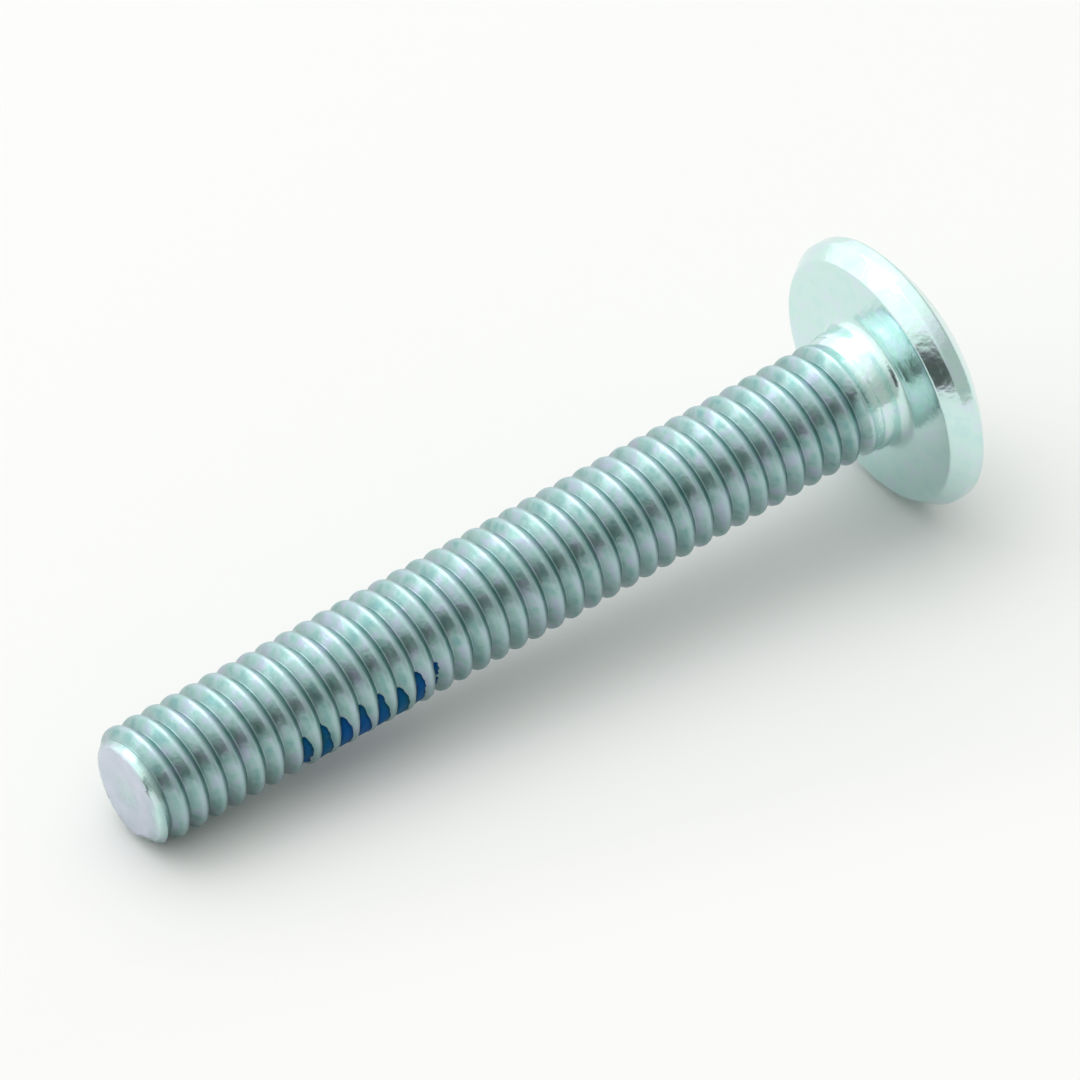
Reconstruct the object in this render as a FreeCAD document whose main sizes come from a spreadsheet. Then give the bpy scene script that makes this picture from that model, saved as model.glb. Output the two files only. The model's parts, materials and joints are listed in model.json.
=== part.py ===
import FreeCAD, Part
import math
import os
import Sketcher

# A truss-head machine screw, fully threaded, lying on its side.
# The screw is drawn upright in its own frame: the flat underside of its head is the height 0, the shank
# runs down from there and the domed head stands above. At the end it is laid down on its rim and its tip.

# Driving sizes in millimetres and degrees. Every sketch and feature reads them from the sheet.
SIZES = {
    # Shank
    "crest_diameter": 3.9,      # over the thread
    "shank_length": 28.0,       # from the head's underside to the tip face
    "tip_diameter": 3.0,        # flat face at the end
    "tip_chamfer": 0.45,        # length of the lead-in cone
    # Thread: right-handed, one start
    "pitch": 0.7,
    "crest_flat": 0.09,
    "thread_depth": 0.27,
    # Neck under the head, left smooth between the thread and the bearing face
    "neck_diameter": 4.0,
    "neck_length": 0.7,
    "neck_taper": 0.25,         # length of the cone from the neck down to the crests
    "neck_flare": 0.35,         # cone that widens from the neck into the underside
    # Head
    "bearing_diameter": 8.2,    # flat part of the underside
    "head_diameter": 9.0,
    "rim_start": 0.55,          # from the underside up to the straight rim, over a cone
    "rim_end": 1.0,             # from the underside up to where the dome begins
    "head_height": 2.5,
    # Cross recess in the dome
    "recess_depth": 2.0,
    "wing_span": 4.4,           # across the recess, level with the top of the dome
    "wing_width": 1.0,
    "wing_slope": 26.5,         # lean of the wing ends from the axis
    "pit_diameter": 2.4,        # cone in the middle, level with the top of the dome
    # Thread-locking patch on one side of the thread
    "patch_from_tip": 5.1,
    "patch_length": 5.3,
    "patch_start_angle": 263.5,     # direction round the axis in which the patch begins
    "patch_sweep_angle": 119.0,
    "patch_film": 0.06,         # thickness over the crests
}

Y, Z = FreeCAD.Vector(0, 1, 0), FreeCAD.Vector(0, 0, 1)

doc = FreeCAD.newDocument("bolt")
sheet = doc.addObject("Spreadsheet::Sheet", "Sizes")


def fill_sheet():
    """One named cell for each driving size."""
    for row, (name, value) in enumerate(SIZES.items(), start=1):
        sheet.set(f"A{row}", name)
        sheet.set(f"B{row}", str(value))
        sheet.setAlias(f"B{row}", name)
    doc.recompute()


def size(name):
    """A driving size as a plain number, read back from the sheet."""
    return float(getattr(sheet, name))


def new_sketch(body, name):
    """Empty sketch on the body's own upright plane, with the screw's axis as its vertical axis."""
    sketch = body.newObject("Sketcher::SketchObject", name)
    upright = next(item for item in body.Origin.OriginFeatures if item.Role == "XZ_Plane")
    sketch.AttachmentSupport = (upright, [""])
    sketch.MapMode = "FlatFace"
    doc.recompute()
    return sketch


def place(sketch, geometry, vertex, axis, expression):
    """Bind one coordinate of a vertex to an expression; a plain 0 puts it on the sketch's axis."""
    if expression == "0":
        own_axis = -2 if axis == "X" else -1
        sketch.addConstraint(Sketcher.Constraint("PointOnObject", geometry, vertex, own_axis))
        return
    value = float(sketch.evalExpression(expression))
    number = sketch.addConstraint(Sketcher.Constraint("Distance" + axis, -1, 1, geometry, vertex, value))
    sketch.setExpression(f"Constraints[{number}]", expression)


def arc_between(start, end, axis, value):
    """Arc from start to end, under half a turn, whose centre has the given X or Y."""
    along, across = (0, 1) if axis == "X" else (1, 0)
    centre = [0.0, 0.0]
    centre[along] = value
    gap = start[across] - end[across]
    shift = start[along] ** 2 - end[along] ** 2 - 2 * value * (start[along] - end[along])
    centre[across] = (start[across] + end[across]) / 2 + shift / (2 * gap)
    middle = FreeCAD.Vector(*centre)
    radius = (start - middle).Length
    anticlockwise = (start - middle).cross(end - middle).z > 0
    first, last = (start, end) if anticlockwise else (end, start)
    angles = [math.atan2(point.y - middle.y, point.x - middle.x) for point in (first, last)]
    return Part.ArcOfCircle(Part.Circle(middle, Z, radius), *angles), anticlockwise


def outline(sketch, corners, centres=None):
    """Closed outline through corners given as pairs of expressions.

    centres maps a side's number to the axis and the expression that fix its centre: that side is an arc.
    """
    points = [FreeCAD.Vector(sketch.evalExpression(x), sketch.evalExpression(y)) for x, y in corners]
    sides = []
    for number, start in enumerate(points):
        end = points[(number + 1) % len(points)]
        if number in (centres or {}):
            axis, expression = centres[number]
            arc, forward = arc_between(start, end, axis, float(sketch.evalExpression(expression)))
            geometry = sketch.addGeometry(arc, False)
            place(sketch, geometry, 3, axis, expression)
            sides.append((geometry, 1, 2) if forward else (geometry, 2, 1))
        else:
            sides.append((sketch.addGeometry(Part.LineSegment(start, end), False), 1, 2))
    for (x, y), (geometry, first, last), before in zip(corners, sides, sides[-1:] + sides[:-1]):
        sketch.addConstraint(Sketcher.Constraint("Coincident", before[0], before[2], geometry, first))
        place(sketch, geometry, first, "X", x)
        place(sketch, geometry, first, "Y", y)
    doc.recompute()


def revolve(body, kind, name, sketch):
    """Whole turn of a sketch about its own vertical axis: Revolution adds, Groove cuts."""
    feature = body.newObject("PartDesign::" + kind, name)
    feature.Profile = sketch
    feature.ReferenceAxis = (sketch, ["V_Axis"])
    feature.Angle = 360
    doc.recompute()
    return feature


def add_blank(body):
    """Head, neck and shank turned in one piece, without recess."""
    sketch = new_sketch(body, "blank_profile")
    dome_side = 9       # side of the outline that is an arc, counted from 0
    outline(sketch, [
        ("0", "-Sizes.shank_length"),
        ("Sizes.tip_diameter / 2", "-Sizes.shank_length"),
        ("Sizes.crest_diameter / 2", "Sizes.tip_chamfer - Sizes.shank_length"),
        ("Sizes.crest_diameter / 2", "-Sizes.neck_length - Sizes.neck_taper"),
        ("Sizes.neck_diameter / 2", "-Sizes.neck_length"),
        ("Sizes.neck_diameter / 2", "-Sizes.neck_flare"),
        ("Sizes.neck_diameter / 2 + Sizes.neck_flare", "0"),
        ("Sizes.bearing_diameter / 2", "0"),
        ("Sizes.head_diameter / 2", "Sizes.rim_start"),
        ("Sizes.head_diameter / 2", "Sizes.rim_end"),
        ("0", "Sizes.head_height"),
    ], centres={dome_side: ("X", "0")})
    return revolve(body, "Revolution", "blank", sketch)


def cut_recess(body):
    """Cross recess: two crossed slots with sloping ends, and a cone in the middle."""
    floor = "Sizes.head_height - Sizes.recess_depth"
    narrowing = "Sizes.recess_depth * tan(Sizes.wing_slope * 1 deg)"
    wing = new_sketch(body, "wing_profile")
    outline(wing, [
        (f"-Sizes.wing_span / 2 + {narrowing}", floor),
        (f"Sizes.wing_span / 2 - {narrowing}", floor),
        ("Sizes.wing_span / 2", "Sizes.head_height"),
        ("-Sizes.wing_span / 2", "Sizes.head_height"),
    ])
    slot = body.newObject("PartDesign::Pocket", "wing_slot")
    slot.Profile = wing
    slot.Midplane = True
    slot.setExpression("Length", "Sizes.wing_width")
    doc.recompute()
    cross = body.newObject("PartDesign::PolarPattern", "crossed_slots")
    cross.Originals = [slot]
    cross.Axis = (wing, ["V_Axis"])
    cross.Angle = 90
    cross.Occurrences = 2
    body.Tip = cross
    doc.recompute()
    cone = new_sketch(body, "pit_profile")
    outline(cone, [
        ("0", floor + " - Sizes.wing_width / 4"),
        ("Sizes.pit_diameter / 2", "Sizes.head_height"),
        ("0", "Sizes.head_height"),
    ])
    return revolve(body, "Groove", "pit", cone)


def cut_thread(body):
    """Helical V-groove from past the tip up to the neck."""
    half_gap = "(Sizes.pitch - Sizes.crest_flat) / 2"
    first_root = "-Sizes.shank_length - Sizes.pitch"
    clear_of_crest = 0.25       # share of the groove that stands outside the crests
    groove = new_sketch(body, "groove_profile")
    outside = f"Sizes.crest_diameter / 2 + Sizes.thread_depth * {clear_of_crest}"
    reach = f"{half_gap} * {1 + clear_of_crest}"
    outline(groove, [
        ("Sizes.crest_diameter / 2 - Sizes.thread_depth", first_root),
        (outside, f"{first_root} + {reach}"),
        (outside, f"{first_root} - {reach}"),
    ])
    thread = body.newObject("PartDesign::SubtractiveHelix", "thread")
    thread.Profile = groove
    thread.ReferenceAxis = (groove, ["V_Axis"])
    thread.Mode = "pitch-height-angle"
    thread.Angle = 0
    thread.setExpression("Pitch", "Sizes.pitch")
    thread.setExpression("Height", f"-Sizes.neck_length - {half_gap} - ({first_root})")
    doc.recompute()


def make_bolt():
    """The screw: one piece of steel, headed and turned, then threaded."""
    body = doc.addObject("PartDesign::Body", "bolt")
    add_blank(body)
    cut_recess(body)
    cut_thread(body)
    return body


def lay_down(bolt):
    """Lay the upright screw along X with its tip towards -X: centred on the origin, lowest point at Z 0.

    It leans on two circles: the one where its rim begins, and the crests where the tip's cone begins.
    """
    apart = size("shank_length") - size("tip_chamfer") + size("rim_start")
    drop = (size("head_diameter") - size("crest_diameter")) / 2
    lean = math.atan2(drop, apart)
    bolt.Placement = FreeCAD.Placement(FreeCAD.Vector(), FreeCAD.Rotation(Y, 90 - math.degrees(lean)))
    box = bolt.Shape.optimalBoundingBox(False)
    bolt.Placement.Base = FreeCAD.Vector(-box.Center.x, 0, -box.ZMin)
    print("resting lean", round(math.degrees(lean), 3), "degrees")


def make_patch(bolt):
    """Film of nylon fused onto one side of the thread: it fills the grooves and covers the crests."""
    sector = doc.addObject("Part::Cylinder", "patch_sector")
    sector.setExpression("Radius", "Sizes.crest_diameter / 2 + Sizes.patch_film")
    sector.setExpression("Height", "Sizes.patch_length")
    sector.setExpression("Angle", "Sizes.patch_sweep_angle")
    low_end = Z * (size("patch_from_tip") - size("shank_length"))
    turned = FreeCAD.Rotation(Z, size("patch_start_angle"))
    sector.Placement = bolt.Placement.multiply(FreeCAD.Placement(low_end, turned))
    patch = doc.addObject("Part::Cut", "thread_patch")
    patch.Base = sector
    patch.Tool = bolt
    doc.recompute()
    return patch


def export(pieces):
    """Check every object and each piece's solid, then write one STEP file for each piece."""
    failed = [item.Name for item in doc.Objects if {"Invalid", "Error"} & set(item.State)]
    if failed:
        raise RuntimeError("not built: " + ", ".join(failed))
    for piece in pieces:
        shape = piece.Shape
        if shape.isNull() or not shape.isValid() or len(shape.Solids) != 1:
            raise RuntimeError(piece.Label + " is not one valid solid")
    os.makedirs("parts", exist_ok=True)
    for piece in pieces:
        piece.Shape.exportStep(f"parts/{piece.Label}.step")
        print(piece.Label, round(piece.Shape.Volume, 2), "mm3")


fill_sheet()
bolt = make_bolt()
lay_down(bolt)
patch = make_patch(bolt)
export([bolt, patch])
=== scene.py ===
# %% [markdown]
# # A zinc-plated machine screw with a nylon patch
#
# The CAD model gives the screw its place and its exact outline. This lesson gives it its looks: the rolled
# thread with rounded roots, the turned head with soft edges, the fused nylon on one side of the thread, and
# the two finishes. Every piece is modelled upright in millimetres, with the underside of the head at height
# 0 and the tip below it, and is laid down into the frame at the end.

# %% Load the frame
import bpy
import json
import math
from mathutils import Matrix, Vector, noise


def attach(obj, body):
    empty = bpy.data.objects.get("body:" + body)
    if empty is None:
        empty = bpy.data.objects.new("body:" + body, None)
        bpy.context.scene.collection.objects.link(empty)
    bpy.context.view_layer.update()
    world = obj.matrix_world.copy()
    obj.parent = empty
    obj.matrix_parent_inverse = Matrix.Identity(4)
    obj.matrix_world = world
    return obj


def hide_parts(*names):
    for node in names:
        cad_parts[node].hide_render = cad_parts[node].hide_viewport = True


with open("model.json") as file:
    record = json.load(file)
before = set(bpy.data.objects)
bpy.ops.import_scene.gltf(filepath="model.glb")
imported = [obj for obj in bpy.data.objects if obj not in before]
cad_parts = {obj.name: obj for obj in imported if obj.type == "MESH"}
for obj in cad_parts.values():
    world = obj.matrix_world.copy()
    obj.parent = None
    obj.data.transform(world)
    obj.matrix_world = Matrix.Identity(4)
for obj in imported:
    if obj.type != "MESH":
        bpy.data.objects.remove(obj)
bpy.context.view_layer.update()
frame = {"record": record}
MM = 0.001

# %% [markdown]
# ## Where the screw lies
#
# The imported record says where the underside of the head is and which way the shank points. The screw leans
# a little, because its head is wider than its shank. The lean could be typed in as a number, but reading it
# from the record keeps this file in step with the CAD model.

# %% Lean and place of the underside
under_head = next(mount for mount in frame["record"]["mounts"] if mount["name"] == "under_head")
tip_way = Vector(under_head["axis"])
underside = Vector(under_head["pos_m"])
underside.y = 0.0
turn_down = math.atan2(-tip_way.x, -tip_way.z)
print("turned down by", round(math.degrees(turn_down), 2), "degrees")

# %% [markdown]
# ## Working as by hand
#
# Blender's operators act on whatever is selected and active, just as its menus do. Five small helpers keep
# that in order: they clear the selection, pick one piece, open it for editing, apply a modifier at once,
# and lay a finished piece down with its place kept in its mesh, so that its object stays at the origin.

# %% Helpers for selecting and finishing
def clear_selection():
    """Object mode, with nothing selected: operators act on all that is selected."""
    if bpy.context.object and bpy.context.object.mode != "OBJECT":
        bpy.ops.object.mode_set(mode="OBJECT")
    bpy.ops.object.select_all(action="DESELECT")


def pick(piece):
    """Make one piece the only selected and the active one."""
    clear_selection()
    piece.select_set(True)
    bpy.context.view_layer.objects.active = piece


def edit_all(piece):
    """Edit mode on one piece, with all of it selected."""
    pick(piece)
    bpy.ops.object.mode_set(mode="EDIT")
    bpy.ops.mesh.select_all(action="SELECT")


def apply_modifier(piece, kind, **settings):
    """Add a modifier with its settings and apply it at once."""
    pick(piece)
    modifier = piece.modifiers.new(kind.lower(), kind)
    for key, value in settings.items():
        setattr(modifier, key, value)
    bpy.ops.object.modifier_apply(modifier=modifier.name)


def lay_down(piece):
    """From upright millimetres to the frame's metres, with the place kept in the mesh."""
    pick(piece)
    piece.scale = (MM, MM, MM)
    piece.rotation_euler = (0, turn_down, 0)
    piece.location = underside
    bpy.ops.object.transform_apply(location=True, rotation=True, scale=True)


# %% [markdown]
# ## Drawing a section and turning it
#
# A turned part is half of its section, spun about its axis. The section could be a curve, but a chain of
# edges keeps each corner where it is drawn. It starts as a small plane that is merged to one vertex, and
# each further vertex is extruded from the last, as when drawing by hand.

# %% Section drawing and arcs
SEED = 0.01             # size of the plane that is merged to the first vertex


def draw_section(name, corners):
    """Chain of edges through (radius, height) corners, in the XZ plane."""
    clear_selection()
    bpy.ops.mesh.primitive_plane_add(size=SEED, location=(0, 0, 0))
    piece = bpy.context.object
    piece.name = name
    bpy.ops.object.mode_set(mode="EDIT")
    bpy.ops.mesh.merge(type="CENTER")
    x, z = corners[0]
    bpy.ops.transform.translate(value=(x, 0, z))
    for (x0, z0), (x1, z1) in zip(corners, corners[1:]):
        bpy.ops.mesh.extrude_region_move(TRANSFORM_OT_translate={"value": (x1 - x0, 0, z1 - z0)})
    bpy.ops.object.mode_set(mode="OBJECT")
    return piece


def arc(centre, radius, start, end, steps):
    """Points on an arc in the section, from one angle to another in degrees, both ends included."""
    angles = [math.radians(start + (end - start) * step / steps) for step in range(steps + 1)]
    return [(centre[0] + radius * math.cos(a), centre[1] + radius * math.sin(a)) for a in angles]


# %% [markdown]
# ## The thread
#
# Rolling presses a helical groove with sloping flanks and a rounded root into the blank, so the thread is
# the groove's section carried round and up. The Screw modifier does just that: one pitch of the section,
# turned 42 times, 0.7 mm higher each turn. A chain of rings would be quicker, but it would not be a thread.

# %% The groove's section over one pitch
PITCH = 0.7
CREST = 1.95            # radius over the crests
CREST_FLAT = 0.09
CREST_EDGE = 0.02       # rounding of the crest's two edges
EDGE_BOW = (0.25, 0.3)  # the middle of that rounding: how far in and how far along, as shares of it
ROOT_ROUND = 0.08
ROOT_STEPS = 3
THREAD_DEPTH = 0.3


def groove_section():
    """Half of the groove from its root up to the middle of the crest: radius against height."""
    gap = (PITCH - CREST_FLAT) / 2
    centre = CREST - THREAD_DEPTH + ROOT_ROUND
    reach = math.hypot(CREST - centre, gap)
    lean = math.degrees(math.atan2(gap, CREST - centre) + math.asin(ROOT_ROUND / reach))
    root = arc((centre, 0.0), ROOT_ROUND, 180, 90 + lean, ROOT_STEPS)
    flank_end = (CREST - CREST_EDGE, gap - CREST_EDGE * math.tan(math.radians(lean)))
    edge_middle = (CREST - CREST_EDGE * EDGE_BOW[0], gap + CREST_EDGE * EDGE_BOW[1])
    return root + [flank_end, edge_middle, (CREST, gap + CREST_EDGE), (CREST, PITCH / 2)]


half = groove_section()
section = [(r, -z) for r, z in reversed(half)] + half[1:]
print("groove depth", round(CREST - half[0][0], 3), "mm,", len(section) - 1, "edges a pitch")

# %% Turn the section into the threaded bar
TURNS = 42
STEPS = 90
FIRST_ROOT = -29.4      # height of a root on the side that faces the floor
MERGE = 0.0005          # vertices nearer than this are made one
DEGENERATE = 0.0001     # edges shorter than this are dissolved

bar = draw_section("thread_bar", section)
apply_modifier(bar, "SCREW", angle=math.tau, screw_offset=PITCH, iterations=TURNS, steps=STEPS,
               render_steps=STEPS, axis="Z", use_merge_vertices=False, use_smooth_shade=True)
edit_all(bar)
bpy.ops.mesh.remove_doubles(threshold=MERGE)
bpy.ops.transform.translate(value=(0, 0, FIRST_ROOT))
bpy.ops.object.mode_set(mode="OBJECT")
heights = [vertex.co.z for vertex in bar.data.vertices]
print("threaded bar from", round(min(heights), 2), "to", round(max(heights), 2), "mm,",
      len(bar.data.polygons), "faces")

# %% [markdown]
# The blank has a cone at its tip before it is rolled, and under the head the rolls lift off, so the groove
# runs out. Cutting the bar with a cone would leave a ragged mesh, so both are done by moving the vertices
# along their radius: held inside the cone at the tip, and eased out to the full diameter at the neck. The
# turns beyond either end are drawn in to the axis and make the end faces, so the bar is one closed mesh
# with no cap of its own. The tip face is where the wire was sheared and pressed: it is very slightly
# dished, which catches the light differently from a plane. Three values are kept at each vertex for the
# finish and its painted light: how far it is rolled metal, which is rougher and darkened by painted shade,
# how deep it lies in the groove, which sets painted shade in the roots and a painted highlight on the
# crests, and whether it is on the sheared face.

# %% Shape the two ends of the thread
SHANK = 28.0
TIP_RADIUS = 1.5
TIP_CONE = 0.45
TIP_ROUND = 0.06        # rounding between the cone and the tip face
TIP_ROWS = 1.0          # height of the turns that are drawn in to make the tip face
DISH = 0.05             # depth of the hollow in the tip face
DISH_STEEP = 1.3        # how fast the tip face rises from its hollow to its edge
DISH_FLAT = 0.15        # how much of that rise its flat middle takes up
RUN_OUT_START = -1.5
RUN_OUT_LENGTH = 0.6
NECK_END = -0.6         # the bar ends here, inside the neck
NECK_ROWS = 0.2         # height of the turns that are drawn in there
ROLLED_FADE = 0.7       # length over which the look of rolled metal, rougher and darkened by painted shade, gives way to that of the head
SHEARED_END = 0.08 - SHANK      # the look of the sheared end face reaches up to this height
SHEARED_FADE = 0.06
ROOTS_START = TIP_CONE / 3 - SHANK      # below this height the cone has no groove to be deep in


def ease(value):
    """Smooth step from 0 to 1."""
    value = min(max(value, 0.0), 1.0)
    return value * value * (3 - 2 * value)


def shaped_point(radius, z):
    """Radius and height that a point of the endless thread has on the finished bar."""
    beyond_tip, beyond_neck = -SHANK - z, z - NECK_END
    if beyond_tip > 0:
        share = min(beyond_tip / TIP_ROWS, 1.0)
        inset = (TIP_RADIUS - TIP_ROUND) * (1 - share)
        return inset, -SHANK + DISH * (1 - ease(inset / TIP_RADIUS * DISH_STEEP - DISH_FLAT))
    if beyond_neck > 0:
        return CREST * max(1 - beyond_neck / NECK_ROWS, 0.0), NECK_END
    cone = TIP_RADIUS + (z + SHANK) * (CREST - TIP_RADIUS) / TIP_CONE
    radius = min(radius, cone)
    return radius + (CREST - radius) * ease((z - RUN_OUT_START) / RUN_OUT_LENGTH), z


rolled_layer, root_layer, sheared_layer = (
    bar.data.attributes.new(name, "FLOAT", "POINT") for name in ("rolled", "root_depth", "sheared"))
for index, vertex in enumerate(bar.data.vertices):
    radius = math.hypot(vertex.co.x, vertex.co.y)
    new_radius, z = shaped_point(radius, vertex.co.z)
    vertex.co = (vertex.co.x * new_radius / radius, vertex.co.y * new_radius / radius, z)
    below_neck = ease((RUN_OUT_START + RUN_OUT_LENGTH - z) / ROLLED_FADE)
    sheared = ease((SHEARED_END - z) / SHEARED_FADE)
    sheared_layer.data[index].value = sheared
    # Rolled metal is darkened by painted shade; the groove depth sets painted root shade and crest
    # highlight.
    rolled_layer.data[index].value = below_neck * max(ease((z + SHANK) / TIP_CONE), sheared)
    if z > ROOTS_START:
        root_layer.data[index].value = (CREST - new_radius) / THREAD_DEPTH

edit_all(bar)
bpy.ops.mesh.remove_doubles(threshold=MERGE)
bpy.ops.mesh.dissolve_degenerate(threshold=DEGENERATE)
bpy.ops.mesh.select_all(action="SELECT")
bpy.ops.mesh.normals_make_consistent(inside=False)
bpy.ops.mesh.select_all(action="DESELECT")
bpy.ops.mesh.select_mode(type="VERT")
bpy.ops.mesh.select_non_manifold()
bpy.ops.object.mode_set(mode="OBJECT")
print("bar has", len(bar.data.polygons), "faces and", sum(edge.select for edge in bar.data.edges),
      "open edges")

# %% [markdown]
# ## The head
#
# The head is cold-formed: a flat underside, a short cone, a straight rim and a low dome. A flattened sphere
# would have none of these. Its section is drawn from the axis, out along the underside and back over the
# dome, and spun. The press leaves no sharp corner, so each corner of the section is replaced by a small arc
# that touches both its sides.

# %% Sizes of the neck and head
NECK = 2.0
NECK_FOOT = -0.97       # the neck's cone starts here, inside the bar
NECK_SINK = 0.06        # how far inside it starts
NECK_START = -0.72      # here the neck has its full width
FLARE = 0.35
FLAT_RINGS = (2.9, 3.6)         # two extra corners that keep the underside's shading flat
BEARING = 4.1
RIM = 4.498
RIM_START = 0.55
RIM_END = 1.0
HEAD_HEIGHT = 2.49
CORNER_ROUNDS = (0.14, 0.2, 0.16)       # at the edge of the underside, the start and the end of the rim
FLARE_STEPS, ROUND_STEPS, DOME_STEPS, RING_STEPS = 8, 5, 24, 120


# %% Section of the neck, underside, rim and dome
def rounded(before, corner, after, radius):
    """Points of the arc that rounds a corner between the sides towards two other points."""
    corner = Vector(corner)
    back, ahead = (Vector(before) - corner).normalized(), (Vector(after) - corner).normalized()
    half_angle = back.angle(ahead) / 2
    centre = corner + (back + ahead).normalized() * radius / math.sin(half_angle)
    first, last = (corner + way * radius / math.tan(half_angle) - centre for way in (back, ahead))
    turn = math.degrees(first.angle_signed(last))
    start = math.degrees(math.atan2(first.y, first.x))
    return arc(centre, radius, start, start - turn, ROUND_STEPS)


rise = HEAD_HEIGHT - RIM_END
dome_radius = (RIM ** 2 + rise ** 2) / (2 * rise)
dome_centre = (0.0, HEAD_HEIGHT - dome_radius)
dome_start = math.degrees(math.atan2(RIM_END - dome_centre[1], RIM))
dome = arc(dome_centre, dome_radius, dome_start, 90, DOME_STEPS)

head_section = [(0.0, NECK_FOOT), (CREST - NECK_SINK, NECK_FOOT), (NECK, NECK_START)]
head_section += arc((NECK + FLARE, -FLARE), FLARE, 180, 90, FLARE_STEPS)
head_section += [(ring, 0.0) for ring in FLAT_RINGS]
corners = [head_section[-1], (BEARING, 0.0), (RIM, RIM_START), (RIM, RIM_END), dome[1]]
for before, corner, after, radius in zip(corners, corners[1:], corners[2:], CORNER_ROUNDS):
    head_section += rounded(before, corner, after, radius)
head_section += dome[2:]
print("head section has", len(head_section), "corners, radius up to",
      round(max(radius for radius, height in head_section), 3))

# %% Spin the head
head = draw_section("head", head_section)
edit_all(head)
bpy.ops.mesh.spin(steps=RING_STEPS, angle=math.tau, center=(0, 0, 0), axis=(0, 0, 1))
bpy.ops.mesh.select_all(action="SELECT")
bpy.ops.mesh.remove_doubles(threshold=MERGE)
bpy.ops.mesh.normals_make_consistent(inside=False)
bpy.ops.object.mode_set(mode="OBJECT")
print("head has", len(head.data.polygons), "faces")

# %% [markdown]
# ## The cross recess
#
# The punch for a cross recess has four wings whose ends slope, and a cone in the middle. Insets and
# extrusions in the dome would have to fit its rings, so the punch itself is modelled as cutters: one
# tapered block, a copy turned by a quarter, and one cone. Boolean modifiers take them out of the head one
# after another, and a bevel softens the edges that they leave.

# %% Cutters for the recess
WING_SPAN = 4.4
WING_WIDTH = 1.0
WING_SLOPE = 26.5
WING_DRAFT = 0.88       # width of a wing at its foot, as a share of its width at the dome
WING_BEVEL = 0.12
RECESS_DEPTH = 2.0
PIT_RADIUS = 1.2
PIT_POINT = 0.02        # radius of the blunt point of the cone
PIT_SIDES = 48
ABOVE = 0.6             # how far the cutters stand out of the dome
BEVEL_STEPS = 3


def wing_cutter(name, quarter):
    """Block across the head, tapered to its foot and turned by a quarter for the second pair of wings."""
    clear_selection()
    floor = HEAD_HEIGHT - RECESS_DEPTH
    top = HEAD_HEIGHT + ABOVE
    bpy.ops.mesh.primitive_cube_add(size=1.0, location=(0, 0, (floor + top) / 2))
    cutter = bpy.context.object
    cutter.name = name
    slope = math.tan(math.radians(WING_SLOPE))
    foot = WING_SPAN - 2 * RECESS_DEPTH * slope
    crown = WING_SPAN + 2 * ABOVE * slope
    cutter.scale = (crown, WING_WIDTH, top - floor)
    bpy.ops.object.transform_apply(location=True, rotation=False, scale=True)
    # Only the corners at the foot are selected, so that the taper leaves the top as it is.
    bpy.ops.object.mode_set(mode="EDIT")
    bpy.ops.mesh.select_all(action="DESELECT")
    bpy.ops.object.mode_set(mode="OBJECT")
    for vertex in cutter.data.vertices:
        vertex.select = vertex.co.z < (floor + top) / 2
    bpy.ops.object.mode_set(mode="EDIT")
    bpy.ops.transform.resize(value=(foot / crown, WING_DRAFT, 1), center_override=(0, 0, floor))
    bpy.ops.object.mode_set(mode="OBJECT")
    apply_modifier(cutter, "BEVEL", width=WING_BEVEL, segments=BEVEL_STEPS, limit_method="ANGLE")
    if quarter:
        cutter.rotation_euler.z = math.pi / 2
        bpy.ops.object.transform_apply(location=False, rotation=True, scale=False)
    return cutter


def pit_cutter():
    """Cone in the middle of the recess."""
    clear_selection()
    foot = HEAD_HEIGHT - RECESS_DEPTH - WING_WIDTH / 4
    height = HEAD_HEIGHT + ABOVE - foot
    crown = PIT_RADIUS * height / (HEAD_HEIGHT - foot)
    bpy.ops.mesh.primitive_cone_add(vertices=PIT_SIDES, radius1=PIT_POINT, radius2=crown, depth=height,
                                    location=(0, 0, foot + height / 2))
    cutter = bpy.context.object
    cutter.name = "pit_cutter"
    bpy.ops.object.transform_apply(location=True, rotation=True, scale=True)
    return cutter


cutters = [wing_cutter("wing_cutter_a", False), wing_cutter("wing_cutter_b", True), pit_cutter()]
reaches = [max(vertex.co.length for vertex in cutter.data.vertices) for cutter in cutters]
print("cutters reach", [round(reach, 2) for reach in reaches])

# %% Cut the recess and soften the edges
EDGE_BEVEL = 0.05
EDGE_ANGLE = 28         # degrees between faces from which an edge counts as sharp

for cutter in cutters:
    apply_modifier(head, "BOOLEAN", operation="DIFFERENCE", solver="EXACT", object=cutter)
    bpy.data.objects.remove(cutter)
apply_modifier(head, "BEVEL", width=EDGE_BEVEL, segments=BEVEL_STEPS, limit_method="ANGLE",
               angle_limit=math.radians(EDGE_ANGLE))
print("head with recess has", len(head.data.polygons), "faces")

# %% One piece of steel
SMOOTH_ANGLE = 35       # degrees between faces up to which they are shaded as one surface

pick(bar)
head.select_set(True)
bpy.ops.object.join()
screw = bar
screw.name = "screw"
bpy.ops.object.shade_smooth_by_angle(angle=math.radians(SMOOTH_ANGLE))
lay_down(screw)
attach(screw, "root")
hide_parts("bolt")
print("screw:", len(screw.data.polygons), "faces")

# %% [markdown]
# ## The nylon patch
#
# Nylon powder is sprayed onto the warm thread from one side. It melts and fills the grooves to a low
# meniscus, lower towards its border, where less powder landed. The crests are soon rubbed bare, and the
# border is ragged. A blue colour painted on the metal would have no thickness, and a cylinder would bridge
# the grooves. So a grid is wrapped round the shank with its rows following the helix, and each vertex is
# set on the radius of that filling. On the crests and beyond the border it sinks under the metal, so the
# outline that shows is ragged.

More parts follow.
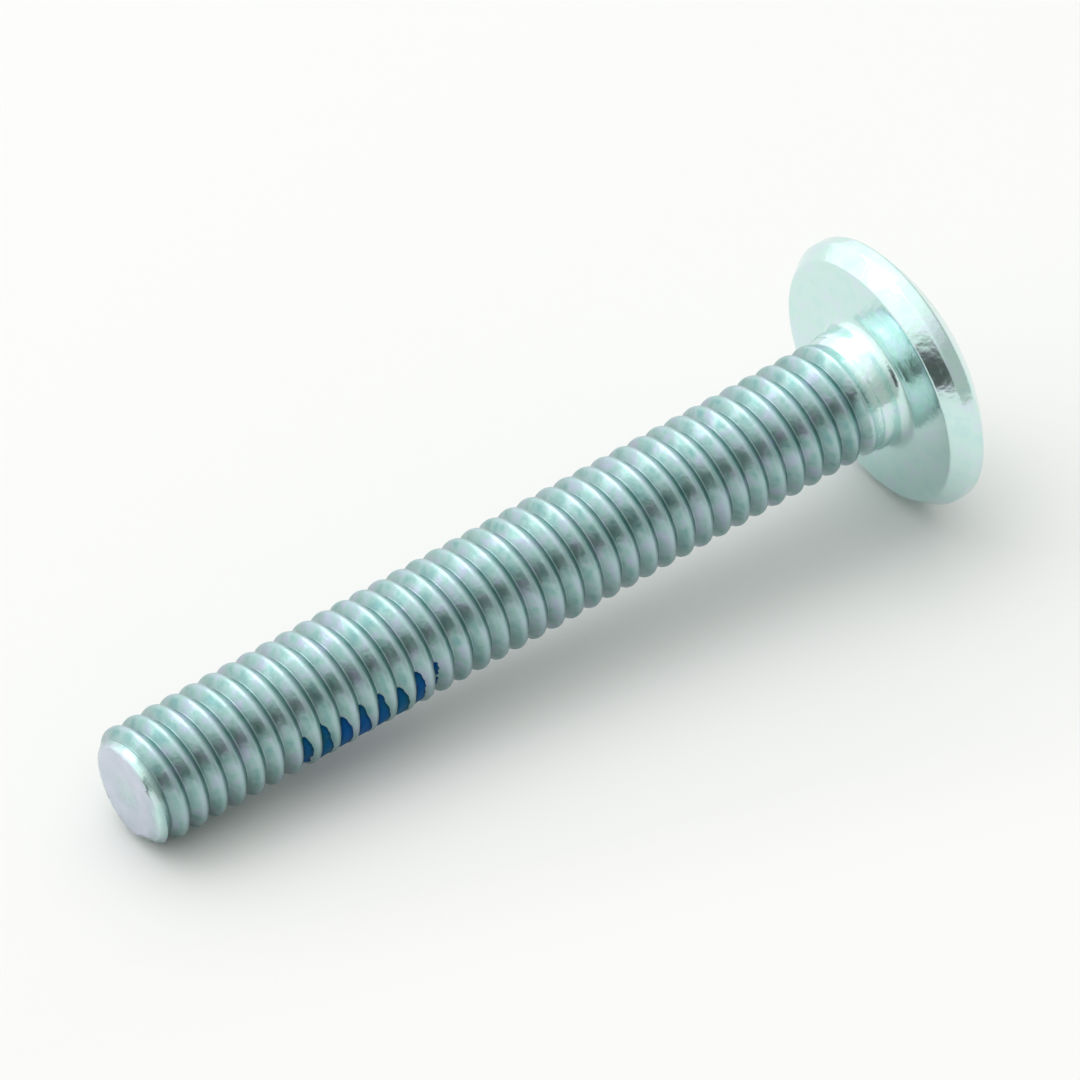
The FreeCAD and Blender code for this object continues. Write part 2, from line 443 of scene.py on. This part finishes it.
# %% Radius of the thread and of the nylon over it
PATCH_FROM_TIP = 5.1
PATCH_LENGTH = 5.3
PATCH_START = 263.5
PATCH_SWEEP = 119.0
BORDER_WAVES = ((0.3, 1.7), (0.15, 5.0))        # (how far, how often a mm) the border wanders
COVER_FADE = 0.3        # width of the strip in which the nylon sinks under the metal
MENISCUS = 0.05         # depth of the nylon's surface below the crests, in the middle of a groove
SWELL = (0.03, 2.3)     # (how far, how often a mm) that surface rises and falls
SWELL_LAYER = 3.0       # layer of the noise that it reads, away from the border's layer 0
FALL = 0.16             # how much lower the nylon's surface is at the border
FALL_WIDTH = 1.1        # width of the strip in which it falls
BARE = 0.02             # how far the nylon stays below the metal where a crest is rubbed bare
BLEND = 0.03            # softness of the line where the nylon meets a flank
BLEND_SINK = 0.003      # how much the blend is lowered, because softening raises it


def thread_radius(angle, z):
    """Radius of the rolled thread in a direction (degrees) and at a height."""
    height = (z - FIRST_ROOT - PITCH * angle / 360 + PITCH / 2) % PITCH - PITCH / 2
    for (r0, z0), (r1, z1) in zip(section, section[1:]):
        if z0 <= height <= z1:
            return r0 + (r1 - r0) * (height - z0) / (z1 - z0)
    return CREST


def from_border(angle, z):
    """Distance in mm inside the patch's border, which is ragged."""
    low = PATCH_FROM_TIP - SHANK
    across = math.radians(min(angle - PATCH_START, PATCH_START + PATCH_SWEEP - angle)) * CREST
    along = min(z - low, low + PATCH_LENGTH - z)
    spot = Vector((math.radians(angle) * CREST, z, 0))
    return min(across, along) + sum(wander * noise.noise(spot * often) for wander, often in BORDER_WAVES)


def cover(angle, z):
    """How fully the nylon covers this spot: 1 inside, 0 outside."""
    return ease(0.5 + from_border(angle, z) / COVER_FADE)


def nylon_radius(angle, z):
    """Radius of the nylon's surface where it covers: the higher of filling and bare metal, blended."""
    spot = Vector((math.radians(angle) * CREST, z, SWELL_LAYER))
    fill = CREST - MENISCUS + SWELL[0] * noise.noise(spot * SWELL[1])
    fill -= FALL * (1 - ease(from_border(angle, z) / FALL_WIDTH))
    bare = thread_radius(angle, z) - BARE
    return 0.5 * (bare + fill + math.sqrt((bare - fill) ** 2 + BLEND ** 2)) - BLEND_SINK


# %% Wrap the grid round the thread
MARGIN = 0.45           # grid beyond the patch, all round
GRID = (180, 64)        # squares along the shank and round it
SUNK = 0.08             # how deep the grid lies under the metal outside, and the thickness of the sheet
FULL_DEPTH = 0.2        # nylon as thick as this over the metal has its full colour

clear_selection()
bpy.ops.mesh.primitive_grid_add(x_subdivisions=GRID[0], y_subdivisions=GRID[1], size=2)
patch = bpy.context.object
patch.name = "nylon_patch"
depth_layer = patch.data.attributes.new("nylon_depth", "FLOAT", "POINT")
margin_angle = math.degrees(MARGIN / CREST)
low = PATCH_FROM_TIP - SHANK - MARGIN
for index, vertex in enumerate(patch.data.vertices):
    along, round_about = (vertex.co.x + 1) / 2, (vertex.co.y + 1) / 2
    angle = PATCH_START - margin_angle + round_about * (PATCH_SWEEP + 2 * margin_angle)
    z = low + along * (PATCH_LENGTH + 2 * MARGIN) + PITCH * (round_about - 0.5) * PATCH_SWEEP / 360
    metal = thread_radius(angle, z)
    radius = metal - SUNK + cover(angle, z) * (nylon_radius(angle, z) - metal + SUNK)
    depth_layer.data[index].value = min(max((radius - metal) / FULL_DEPTH, 0.0), 1.0)
    vertex.co = (radius * math.cos(math.radians(angle)), radius * math.sin(math.radians(angle)), z)
print("nylon grid has", len(patch.data.polygons), "squares")

# %% Turn its faces outwards and give it a thickness
edit_all(patch)
bpy.ops.mesh.flip_normals()
bpy.ops.object.mode_set(mode="OBJECT")
apply_modifier(patch, "SOLIDIFY", thickness=SUNK, offset=-1.0)
bpy.ops.object.shade_smooth()
lay_down(patch)
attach(patch, "root")
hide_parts("thread_patch")
print("nylon patch:", len(patch.data.polygons), "faces")

# %% [markdown]
# ## Two finishes
#
# Bright zinc with a blue-white passivate is a metal with a faint tint that drifts from teal to lilac, as
# the passivate film varies in thickness. Rolled metal is rougher than the head, and its tints are darker as
# painted shade for the shading among the turns, darkest in the roots as painted shade, and a little brighter
# on the crests as a painted highlight; the sheared tip face is lilac. One colour for the whole screw would
# lose all that, so the tints follow the values kept in the mesh. Fused nylon is dull and slightly grainy.
# Both carry a fine unevenness, so that is a node group, placed in each with its own scale.

# %% A node group for fine unevenness
def new_group(name, inputs, outputs):
    """Empty shader node group with named inputs and outputs, all of them plain values."""
    group = bpy.data.node_groups.new(name, "ShaderNodeTree")
    for in_out, sockets in (("INPUT", inputs), ("OUTPUT", outputs)):
        for socket in sockets:
            group.interface.new_socket(socket, in_out=in_out, socket_type="NodeSocketFloat")
    return group


def unevenness_group():
    """Two noises on Object coordinates: a fine grain and a slow drift, both from 0 to 1."""
    group = new_group("fine_unevenness", ("Grain Scale", "Drift Scale"), ("Grain", "Drift"))
    nodes, links = group.nodes, group.links
    entry, leave = nodes.new("NodeGroupInput"), nodes.new("NodeGroupOutput")
    place = nodes.new("ShaderNodeTexCoord")
    for scale, output, detail in (("Grain Scale", "Grain", 4.0), ("Drift Scale", "Drift", 2.0)):
        texture = nodes.new("ShaderNodeTexNoise")
        texture.inputs["Detail"].default_value = detail
        links.new(place.outputs["Object"], texture.inputs["Vector"])
        links.new(entry.outputs[scale], texture.inputs["Scale"])
        links.new(texture.outputs["Fac"], leave.inputs[output])
    return group


unevenness = unevenness_group()
print("node group:", unevenness.name, "with", len(unevenness.nodes), "nodes")


# %% Helpers for materials
def new_material(name):
    """Material with an empty tree, its Principled shader and output joined."""
    material = bpy.data.materials.new(name)
    material.use_nodes = True
    nodes, links = material.node_tree.nodes, material.node_tree.links
    nodes.clear()
    shader = nodes.new("ShaderNodeBsdfPrincipled")
    output = nodes.new("ShaderNodeOutputMaterial")
    links.new(shader.outputs["BSDF"], output.inputs["Surface"])
    return material, nodes, links, shader


def place_unevenness(nodes, grain_scale, drift_scale):
    """The unevenness group in a material: its grain and its drift."""
    node = nodes.new("ShaderNodeGroup")
    node.node_tree = unevenness
    node.inputs["Grain Scale"].default_value = grain_scale
    node.inputs["Drift Scale"].default_value = drift_scale
    return node.outputs["Grain"], node.outputs["Drift"]


def ramp(nodes, links, factor, stops):
    """Colour ramp through (position, colour) stops, read by a factor."""
    node = nodes.new("ShaderNodeValToRGB")
    elements = node.color_ramp.elements
    while len(elements) < len(stops):
        elements.new(0.5)
    for element, (position, colour) in zip(elements, stops):
        element.position = position
        element.color = (*colour, 1.0)
    links.new(factor, node.inputs["Fac"])
    return node.outputs["Color"]


def spread(nodes, links, factor, low, high):
    """Map a 0 to 1 factor to a range."""
    node = nodes.new("ShaderNodeMapRange")
    node.inputs["To Min"].default_value = low
    node.inputs["To Max"].default_value = high
    links.new(factor, node.inputs["Value"])
    return node.outputs["Result"]


def mixed(nodes, links, factor, first, second, kind="RGBA"):
    """Colour, or with FLOAT a plain value, between two others."""
    node = nodes.new("ShaderNodeMix")
    node.data_type = kind
    # The node keeps a pair of sockets and a result for each kind, and they are told apart by number.
    low, high, result = (2, 3, 0) if kind == "FLOAT" else (6, 7, 2)
    links.new(factor, node.inputs[0])
    links.new(first, node.inputs[low])
    links.new(second, node.inputs[high])
    return node.outputs[result]


def attribute(nodes, name):
    """A value that the mesh keeps at its vertices."""
    node = nodes.new("ShaderNodeAttribute")
    node.attribute_name = name
    return node.outputs["Fac"]


def maths(nodes, links, operation, first, second):
    """One step of arithmetic on two values."""
    node = nodes.new("ShaderNodeMath")
    node.operation = operation
    links.new(first, node.inputs[0])
    links.new(second, node.inputs[1])
    return node.outputs["Value"]


def towards(nodes, links, place, direction):
    """How far a place or a direction lies in a given direction."""
    node = nodes.new("ShaderNodeVectorMath")
    node.operation = "DOT_PRODUCT"
    node.inputs[1].default_value = Vector(direction).normalized()
    links.new(place, node.inputs[0])
    return node.outputs["Value"]


BUMP_DISTANCE = 0.00003         # m


def bump(nodes, links, height, strength):
    """Bump node fed by a height."""
    node = nodes.new("ShaderNodeBump")
    node.inputs["Strength"].default_value = strength
    node.inputs["Distance"].default_value = BUMP_DISTANCE
    links.new(height, node.inputs["Height"])
    return node.outputs["Normal"]


# %% Bright zinc plate
DRIFT_HEIGHT = 2.0      # height of the drift's hills in the bump, against 1 for the grain's


def zinc_plate():
    """Metal with a drifting tint for the head, the thread, its roots, its crests and the tip face, with
    painted shade darkening the thread and deepest in its roots, and a painted highlight on its crests.
    """
    material, nodes, links, shader = new_material("bright_zinc_plate")
    shader.inputs["Metallic"].default_value = 1.0
    grain, drift = place_unevenness(nodes, grain_scale=5000.0, drift_scale=1900.0)
    rolled, root, sheared = (attribute(nodes, name) for name in ("rolled", "root_depth", "sheared"))
    head_tint = ramp(nodes, links, drift, [
        (0.34, (0.59, 0.81, 0.79)), (0.5, (0.63, 0.84, 0.79)), (0.62, (0.66, 0.80, 0.84))])
    # Painted shade: the thread's tints are darker than the head's, for the shading among its turns.
    shaded_flank_tint = ramp(nodes, links, drift, [
        (0.32, (0.19, 0.37, 0.37)), (0.5, (0.29, 0.46, 0.43)), (0.66, (0.38, 0.44, 0.54))])
    # Painted shade: a still darker tint in the roots of the groove.
    root_painted_shade = ramp(nodes, links, drift, [(0.3, (0.19, 0.30, 0.30)), (0.7, (0.25, 0.34, 0.36))])
    # Painted highlight: a brighter tint on the crests.
    crest_painted_highlight = ramp(nodes, links, drift, [(0.34, (0.34, 0.52, 0.50)), (0.62, (0.41, 0.53, 0.58))])
    end_tint = ramp(nodes, links, drift, [(0.3, (0.55, 0.60, 0.68)), (0.7, (0.62, 0.66, 0.76))])
    # Where the painted shade of the roots and the painted highlight of the crests fall, by depth in the
    # groove.
    root_shade_mask = ramp(nodes, links, root, [(0.35, (0, 0, 0)), (1.0, (0.65, 0.65, 0.65))])
    crest_highlight_mask = ramp(nodes, links, root, [(0.0, (1, 1, 1)), (0.3, (0, 0, 0))])
    thread_tint_and_painted_light = mixed(nodes, links, root_shade_mask, shaded_flank_tint, root_painted_shade)
    thread_tint_and_painted_light = mixed(nodes, links, crest_highlight_mask, thread_tint_and_painted_light, crest_painted_highlight)
    tint = mixed(nodes, links, rolled, head_tint, thread_tint_and_painted_light)
    links.new(mixed(nodes, links, sheared, tint, end_tint), shader.inputs["Base Color"])
    head_rough = spread(nodes, links, grain, 0.13, 0.23)
    thread_rough = spread(nodes, links, grain, 0.25, 0.38)
    links.new(mixed(nodes, links, rolled, head_rough, thread_rough, "FLOAT"), shader.inputs["Roughness"])
    hills = nodes.new("ShaderNodeMath")
    hills.operation = "MULTIPLY_ADD"
    hills.inputs[1].default_value = DRIFT_HEIGHT
    links.new(drift, hills.inputs[0])
    links.new(grain, hills.inputs[2])
    links.new(bump(nodes, links, hills.outputs["Value"], strength=0.28), shader.inputs["Normal"])
    return material


screw.data.materials.clear()
screw.data.materials.append(zinc_plate())
print("screw has", screw.data.materials[0].name)


# %% Fused nylon
def fused_nylon():
    """Dull blue, darker where it is thin, with teal patches that follow its grain."""
    material, nodes, links, shader = new_material("fused_blue_nylon")
    shader.inputs["Specular IOR Level"].default_value = 0.05
    grain, drift = place_unevenness(nodes, grain_scale=4000.0, drift_scale=900.0)
    blue = ramp(nodes, links, attribute(nodes, "nylon_depth"), [
        (0.05, (0.0, 0.015, 0.035)), (0.35, (0.0, 0.05, 0.14)), (0.8, (0.0, 0.08, 0.24))])
    teal = ramp(nodes, links, drift, [(0.4, (0.0, 0.08, 0.095)), (0.58, (0.0, 0.06, 0.22))])
    patchy = ramp(nodes, links, grain, [(0.3, (0.2, 0.2, 0.2)), (0.7, (0.8, 0.8, 0.8))])
    links.new(mixed(nodes, links, patchy, blue, teal), shader.inputs["Base Color"])
    links.new(spread(nodes, links, drift, 0.35, 0.6), shader.inputs["Roughness"])
    links.new(bump(nodes, links, grain, strength=0.4), shader.inputs["Normal"])
    return material


patch.data.materials.clear()
patch.data.materials.append(fused_nylon())
print("nylon patch has", patch.data.materials[0].name)

# %% [markdown]
# ## Floor, light and camera
#
# The screw lies on a plain white sheet under a large soft light above and behind it. A polished metal shows
# its surroundings more than its own colour, so the world is bright above and behind, dim elsewhere and dark
# low in front, as a small studio is: that gives the thread its dark streak. Near the screw the floor is
# paper that takes its shadow. Further to the front it turns plain white to the camera, and to metal and
# glass that mirror it. More light would whiten it too, but it would bleach the screw.

# %% Floor
FLOOR_SIDE = 3.0        # m
FRONT = (-0.25, -0.97, 0.0)
PAPER = (0.74, 0.74, 0.73, 1.0)
PLAIN_WHITE = (0.965, 0.965, 0.955, 1.0)
PLAIN_FROM, PLAIN_TO = 0.009, 0.0134    # m to the front: here the lit paper gives way to plain white


def floor_paper():
    """Matt paper that turns plain white towards the front."""
    material, nodes, links, shader = new_material("white_paper")
    shader.inputs["Base Color"].default_value = PAPER
    shader.inputs["Roughness"].default_value = 0.9
    shader.inputs["Specular IOR Level"].default_value = 0.1
    place = nodes.new("ShaderNodeTexCoord").outputs["Object"]
    beyond = nodes.new("ShaderNodeMapRange")
    beyond.inputs["From Min"].default_value = PLAIN_FROM
    beyond.inputs["From Max"].default_value = PLAIN_TO
    links.new(towards(nodes, links, place, FRONT), beyond.inputs["Value"])
    path = nodes.new("ShaderNodeLightPath")
    seen = maths(nodes, links, "MAXIMUM", path.outputs["Is Camera Ray"], path.outputs["Is Glossy Ray"])
    seen = maths(nodes, links, "MAXIMUM", seen, path.outputs["Is Transmission Ray"])
    plain = maths(nodes, links, "MULTIPLY", seen, beyond.outputs["Result"])
    glow = nodes.new("ShaderNodeEmission")
    glow.inputs["Color"].default_value = PLAIN_WHITE
    glow.inputs["Strength"].default_value = 1.0
    surface = nodes.new("ShaderNodeMixShader")
    links.new(plain, surface.inputs["Fac"])
    links.new(shader.outputs["BSDF"], surface.inputs[1])
    links.new(glow.outputs["Emission"], surface.inputs[2])
    output = next(node for node in nodes if node.bl_idname == "ShaderNodeOutputMaterial")
    links.new(surface.outputs["Shader"], output.inputs["Surface"])
    return material


bpy.ops.mesh.primitive_plane_add(size=FLOOR_SIDE, location=(0, 0, 0))
floor = bpy.context.object
floor.name = "floor"
floor.data.materials.append(floor_paper())
print("floor:", FLOOR_SIDE, "m square")

# %% World: bright above and behind, dim elsewhere, and dark low in front
SKY_WAY = (-0.25, 0.58, 0.775)
DARK_WAY = (-0.82, -0.54, 0.19)
WORLD_STRENGTH = 1.36


def studio_world():
    """The room as the metal mirrors it: a bright sky times the dark end of the room."""
    world = bpy.data.worlds.new("studio")
    world.use_nodes = True
    nodes, links = world.node_tree.nodes, world.node_tree.links
    nodes.clear()
    way = nodes.new("ShaderNodeTexCoord").outputs["Generated"]
    sky = ramp(nodes, links, towards(nodes, links, way, SKY_WAY), [
        (0.0, (0.40, 0.42, 0.40)), (0.3, (0.66, 0.68, 0.66)), (0.5, (0.84, 0.85, 0.84)), (0.7, (1, 1, 1))])
    dark_end = ramp(nodes, links, towards(nodes, links, way, DARK_WAY), [
        (0.92, (1, 1, 1)), (0.98, (0.13, 0.13, 0.13))])
    shade = nodes.new("ShaderNodeMix")
    shade.data_type = "RGBA"
    shade.blend_type = "MULTIPLY"
    shade.inputs[0].default_value = 1.0
    links.new(sky, shade.inputs[6])
    links.new(dark_end, shade.inputs[7])
    background = nodes.new("ShaderNodeBackground")
    background.inputs["Strength"].default_value = WORLD_STRENGTH
    links.new(shade.outputs[2], background.inputs["Color"])
    output = nodes.new("ShaderNodeOutputWorld")
    links.new(background.outputs["Background"], output.inputs["Surface"])
    return world


bpy.context.scene.world = studio_world()
print("world:", bpy.context.scene.world.name)

# %% Large soft light above and behind
SOFTBOX_PLACE = Vector((-0.06, 0.16, 0.30))
SOFTBOX_SIZE = (0.34, 0.26)
SOFTBOX_POWER = 0.36

bpy.ops.object.light_add(type="AREA", location=SOFTBOX_PLACE)
softbox = bpy.context.object
softbox.name = "softbox"
softbox.data.shape = "RECTANGLE"
softbox.data.size, softbox.data.size_y = SOFTBOX_SIZE
softbox.data.energy = SOFTBOX_POWER
softbox.rotation_euler = (-SOFTBOX_PLACE).to_track_quat("-Z", "Y").to_euler()
print("softbox", round(SOFTBOX_PLACE.length, 2), "m away,", SOFTBOX_POWER, "W")

# %% [markdown]
# The camera could be placed by eye, but a screw is so regular that a small error shows at once. Its
# direction, distance and focal length come from matching the head, the tip and the spacing of the grooves,
# which are wider apart at the near end. The distance is some 15 lengths of the screw, with a long lens.

# %% Camera, far away with a long lens
AZIMUTH = -36.127
ELEVATION = 39.724
DISTANCE = 0.43959
AIM = Vector((0.5662, 0.4168, 3.8069)) * MM
FOCAL_PIXELS = 14466.0
PICTURE = 1080
SENSOR = 36.0
CLIP_START = 0.01       # m

azimuth, elevation = math.radians(AZIMUTH), math.radians(ELEVATION)
back = Vector((math.sin(azimuth) * math.cos(elevation), -math.cos(azimuth) * math.cos(elevation),
               math.sin(elevation)))
bpy.ops.object.camera_add(location=AIM + back * DISTANCE)
camera = bpy.context.object
camera.rotation_euler = (-back).to_track_quat("-Z", "Y").to_euler()
camera.data.sensor_width = SENSOR
camera.data.lens = FOCAL_PIXELS * SENSOR / PICTURE
camera.data.clip_start = CLIP_START
bpy.context.scene.camera = camera
bpy.context.scene.view_settings.view_transform = "Standard"
print("camera lens", round(camera.data.lens, 1), "mm")
